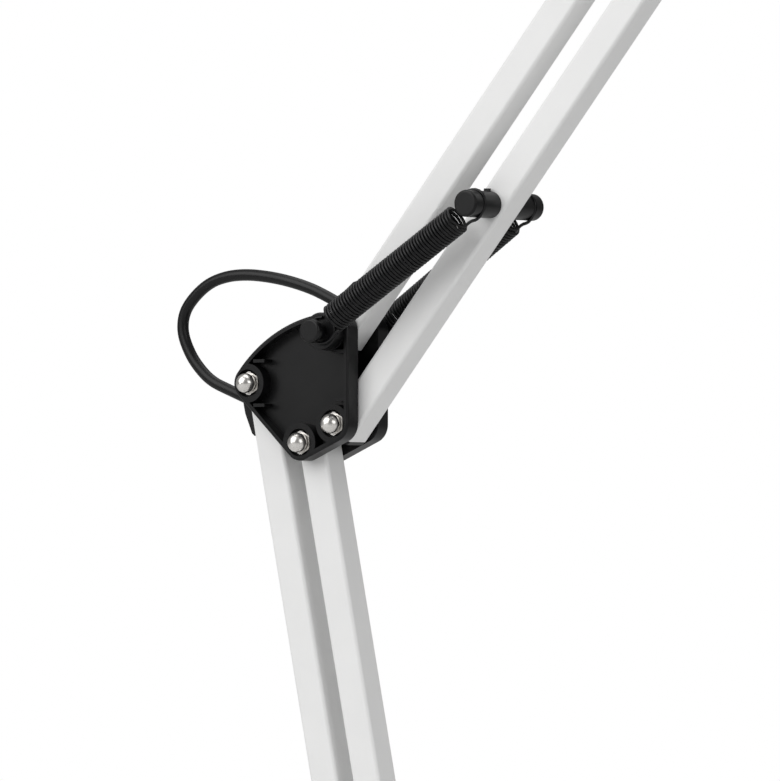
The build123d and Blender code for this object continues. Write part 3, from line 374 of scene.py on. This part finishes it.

# ------------------------------------------------------------------ cable loops at the joints
# The same cable crosses each joint outside the tubes, in a loop that leaves it slack to
# bend. Each loop springs from a moulded hood or gland.
pivots = {held["name"]: Vector(held["pos_m"]) for held in frame["joints"] if "pos_m" in held}
foot_axis = pivots["base_swivel"].copy()
foot_axis.z = 0.0
foot_loop_points = [
    (-0.011, 0.052),
    (-0.022, 0.0523),
    (-0.033, 0.0542),
    (-0.043, 0.0595),
    (-0.050, 0.068),
    (-0.0535, 0.0785),
    (-0.0535, 0.0895),
    (-0.0505, 0.1005),
    (-0.0445, 0.110),
    (-0.036, 0.1175),
    (-0.0269, 0.1232),
]
elbow_loop_lower_points = [
    (-0.0080, -0.0060),
    (-0.0180, -0.0021),
    (-0.0266, 0.0014),
    (-0.0330, 0.0074),
    (-0.0369, 0.0130),
    (-0.0399, 0.0202),
    (-0.0390, 0.0276),
    (-0.0340, 0.0336),
    (-0.0270, 0.0386),
    (-0.0186, 0.0409),
    (-0.0143, 0.0411),
]
elbow_loop_upper_points = [
    (-0.0143, 0.0411),
    (-0.0100, 0.0413),
    (-0.0014, 0.0405),
    (0.0072, 0.0390),
    (0.0160, 0.0367),
    (0.0244, 0.0337),
    (0.0334, 0.0292),
]
head_loop_points = [
    (-0.0289, -0.0222),
    (-0.0355, -0.0125),
    (-0.0398, -0.0015),
    (-0.0400, 0.0100),
    (-0.0360, 0.0205),
    (-0.0285, 0.0288),
    (-0.0180, 0.0338),
    (-0.0065, 0.0340),
    (0.0040, 0.0295),
    (0.0110, 0.0210),
    (0.0145, 0.0110),
    (0.0155, 0.0010),
]


def loop_piece(name, origin, points, node):
    """A cable loop across one joint, as a tube along the loop's route."""
    route = [origin + Vector((x, 0, z)) for x, z in points]
    line = route_curve(name + "_line", route, 0.0)
    bpy.context.view_layer.update()
    traced = bpy.data.meshes.new_from_object(line)
    line.data.bevel_depth = cable_radius
    bpy.context.view_layer.update()
    loop = bpy.data.objects.new(name, bpy.data.meshes.new_from_object(line))
    bpy.context.collection.objects.link(loop)
    bpy.data.objects.remove(line)
    bpy.data.meshes.remove(traced)
    loop.data.materials.clear()
    loop.data.materials.append(pvc)
    loop.data.shade_smooth()
    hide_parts(node)
    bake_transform(loop)
    return loop


loop_piece("foot_cable", foot_axis, foot_loop_points, "foot_loop")
loop_piece(
    "elbow_cable_lower",
    pivots["elbow_level"],
    elbow_loop_lower_points,
    "elbow_loop_lower",
)
loop_piece(
    "elbow_cable_upper",
    pivots["elbow_level"],
    elbow_loop_upper_points,
    "elbow_loop_upper",
)
loop_piece(
    "head_cable", pivots["head_level"], head_loop_points, "head_loop"
)

# ------------------------------------------------------------------ base
# A pressed steel cover in white powder coat hides a cast-iron weight. A rubber pad is
# screwed beneath, and a black nylon socket stands through the cover to carry the arms.
powder_coat = finish(
    "white_powder_coat",
    (0.80, 0.80, 0.795),
    (0.90, 0.90, 0.89),
    1400,
    0.22,
    0.42,
    mottle=0.06,
    mottle_scale=60,
    wear=0.3,
)
dress(powder_coat, "base_cover")
iron = finish(
    "cast_iron", (0.06, 0.058, 0.055), (0.12, 0.11, 0.1), 600, 0.7, 0.7, bump_depth=0.0004
)
dress(iron, "base_weight")
pad_rubber = finish(
    "pad_rubber", (0.02, 0.02, 0.02), (0.06, 0.06, 0.06), 900, 0.4, 0.85, mottle=0.3
)
dress(pad_rubber, "base_pad")
moulding = finish(
    "black_moulding",
    (0.0042, 0.0042, 0.0045),
    (0.02, 0.02, 0.021),
    1300,
    0.10,
    0.33,
    mottle=0.3,
    wear=0.45,
    specular_ior_level=0.26,
)
dress(moulding, "base_socket")
nickel = finish(
    "bright_nickel",
    (0.74, 0.72, 0.69),
    (0.85, 0.84, 0.82),
    900,
    0.05,
    0.3,
    metallic=1.0,
    mottle_scale=300,
    rough_change=0.25,
)
dress(nickel, "base_screws", "swivel_spindle")

# ------------------------------------------------------------------ foot
# A black-coated zinc block turns on the spindle and carries two dished mouldings. Bolts
# with domed nuts clamp them, and a stud through both holds the necked spring pegs.
black_coat = finish(
    "black_powder_coat", (0.013, 0.013, 0.014), (0.06, 0.06, 0.06), 1400, 0.3, 0.42
)
dress(black_coat, "foot_block")
dress(moulding, "foot_plate_front", "foot_plate_rear", "foot_spring_pegs")
dress(nickel, "foot_bolts", "foot_nuts")

# ------------------------------------------------------------------ arms
# Each arm is a pair of square steel tubes in white powder coat. Black moulded inserts
# close the ends and are bored for the pivots; black hoods cover the cable's ways out.
dress(powder_coat, "lower_tube_rear", "lower_tube_front")
dress(powder_coat, "upper_tube_rear", "upper_tube_front")
dress(moulding, "lower_rear_inserts", "lower_front_inserts")
dress(moulding, "upper_rear_inserts", "upper_front_inserts")
dress(moulding, "lower_cable_tongues", "upper_cable_tongues")
dress(moulding, "foot_spring_posts", "elbow_spring_posts")

# ------------------------------------------------------------------ elbow
# Two dished black mouldings hold all four tube ends on bolts with domed nickel nuts.
dress(moulding, "elbow_plate_front", "elbow_plate_rear", "elbow_spring_pegs")
dress(nickel, "elbow_bolts", "elbow_nuts")

# ------------------------------------------------------------------ balance springs
# Close-wound springs of black-coated wire, 11.6 mm across, one each side of the arm. One
# end hooks round the peg's neck and the other into the post's groove, where it sags a little.
coil_radius = 0.0052
wire_radius = 0.00062
coil_pitch = 0.00136
peg_reach = 0.0078
post_reach = 0.0084
coil_droop = 0.0009
peg_ring = 0.0038
post_ring = 0.0042
turn_steps = 12
spring_coat = finish(
    "spring_coating",
    (0.0035, 0.0035, 0.004),
    (0.03, 0.03, 0.03),
    2600,
    0.1,
    0.34,
    wear=0.0,
    specular_ior_level=0.3,
)


def wire_piece(name, points):
    """Round wire along a smooth line, as a mesh."""
    line = route_curve(name + "_line", points, wire_radius)
    line.data.resolution_u = 2
    line.data.bevel_resolution = 1
    bpy.context.view_layer.update()
    wire = bpy.data.objects.new(name, bpy.data.meshes.new_from_object(line))
    bpy.context.collection.objects.link(wire)
    bpy.data.objects.remove(line)
    wire.data.materials.clear()
    wire.data.materials.append(spring_coat)
    wire.data.shade_smooth()
    return wire


def middle(node):
    """The middle of a CAD node's box."""
    low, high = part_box(node)
    return (Vector(low) + Vector(high)) / 2


def hook_line(ring, reach):
    """The hook's way from the coil's end and round its ring, as along and across."""
    return [
        (reach, -coil_radius),
        (reach - 0.0012, -0.0050),
        (0.0046, -0.0044 - ring * 0.15),
        (0.0024, -0.0030 - ring * 0.75),
        (-0.0006, -0.0020 - ring * 0.85),
        (-ring - 0.0001, -ring * 0.70),
        (-ring - 0.0010, ring * 0.10),
        (-ring * 0.85, ring * 0.85),
        (-0.0004, ring + 0.0010),
        (0.0024, ring + 0.0009),
        (0.0043, ring * 0.85),
    ]


def spring_pair(name, peg_node, post_node, side, bodies, post_body, peg_y, post_y):
    """One spring: coil and lower hook in one piece, last turn and upper hook in another."""
    peg = middle(peg_node)
    post = middle(post_node)
    peg.y, post.y = side * peg_y, side * post_y
    way = (post - peg).normalized()
    across = Vector((-way.z, 0, way.x)).normalized()
    outward = way.cross(across)
    span = (post - peg).length
    first, last = peg_reach, span - post_reach - coil_pitch
    total = int((last - first) / coil_pitch * turn_steps)

    def on_coil(step):
        angle = math.pi + 2 * math.pi * step / turn_steps
        ring = across * math.cos(angle) + outward * math.sin(angle)
        droop = across * (-coil_droop * step / total)
        return peg + way * (first + coil_pitch * step / turn_steps) + ring * coil_radius + droop

    lower_hook = [peg + way * s + across * u for s, u in hook_line(peg_ring, peg_reach)]
    coil = [on_coil(step) for step in range(total + 1)]
    body = wire_piece(name + "_coil", lower_hook[::-1] + coil)
    last_steps = range(total - turn_steps + 2, total + turn_steps - 3)
    last_turn = [on_coil(step) for step in last_steps]
    upper_hook = [post - way * s + across * u for s, u in hook_line(post_ring, post_reach)]
    hook = wire_piece(name + "_hook", last_turn + upper_hook)
    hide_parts(bodies[0])
    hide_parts(bodies[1])
    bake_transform(body)
    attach(hook, post_body)


peg_groove_y, post_groove_y = 0.0201, 0.0169
for side, label in ((-1, "front"), (1, "rear")):
    spring_pair(
        "elbow_spring_" + label,
        "elbow_spring_pegs",
        "elbow_spring_posts",
        side,
        ("elbow_springs", "elbow_spring_hooks", "elbow_spring_ends"),
        "upper_front",
        peg_groove_y,
        post_groove_y,
    )
    spring_pair(
        "foot_spring_" + label,
        "foot_spring_pegs",
        "foot_spring_posts",
        side,
        ("foot_springs", "foot_spring_hooks", "foot_spring_ends"),
        "lower_front",
        peg_groove_y,
        post_groove_y,
    )

# ------------------------------------------------------------------ head bracket and yoke
# The head's two mouldings keep level through the linkage. A fluted black knob clamps the
# black-coated yoke between them, and the cable comes in through a gland.
dress(moulding, "head_plate_front", "head_plate_rear", "tilt_knob", "head_grommet")
dress(nickel, "head_bolts", "head_nuts")
dress(black_coat, "head_yoke")

# ------------------------------------------------------------------ shade
# A spun steel bell and its slotted cap, in white powder coat on a nickel stem. The
# lampholder and the switch's housing and button are black mouldings.
dress(powder_coat, "shade_cap", "shade_bell")
dress(nickel, "shade_stem", "stem_nut")
dress(moulding, "lampholder", "switch_housing", "switch_button")
thread_metal = finish(
    "rolled_aluminium", (0.6, 0.6, 0.61), (0.7, 0.7, 0.7), 700, 0.2, 0.35, metallic=1.0
)
dress(thread_metal, "bulb_cap")
frosted = finish(
    "frosted_glass", (0.93, 0.93, 0.91), (0.95, 0.95, 0.94), 1600, 0.05, 0.3, mottle=0.03
)
dress(frosted, "bulb_glass")

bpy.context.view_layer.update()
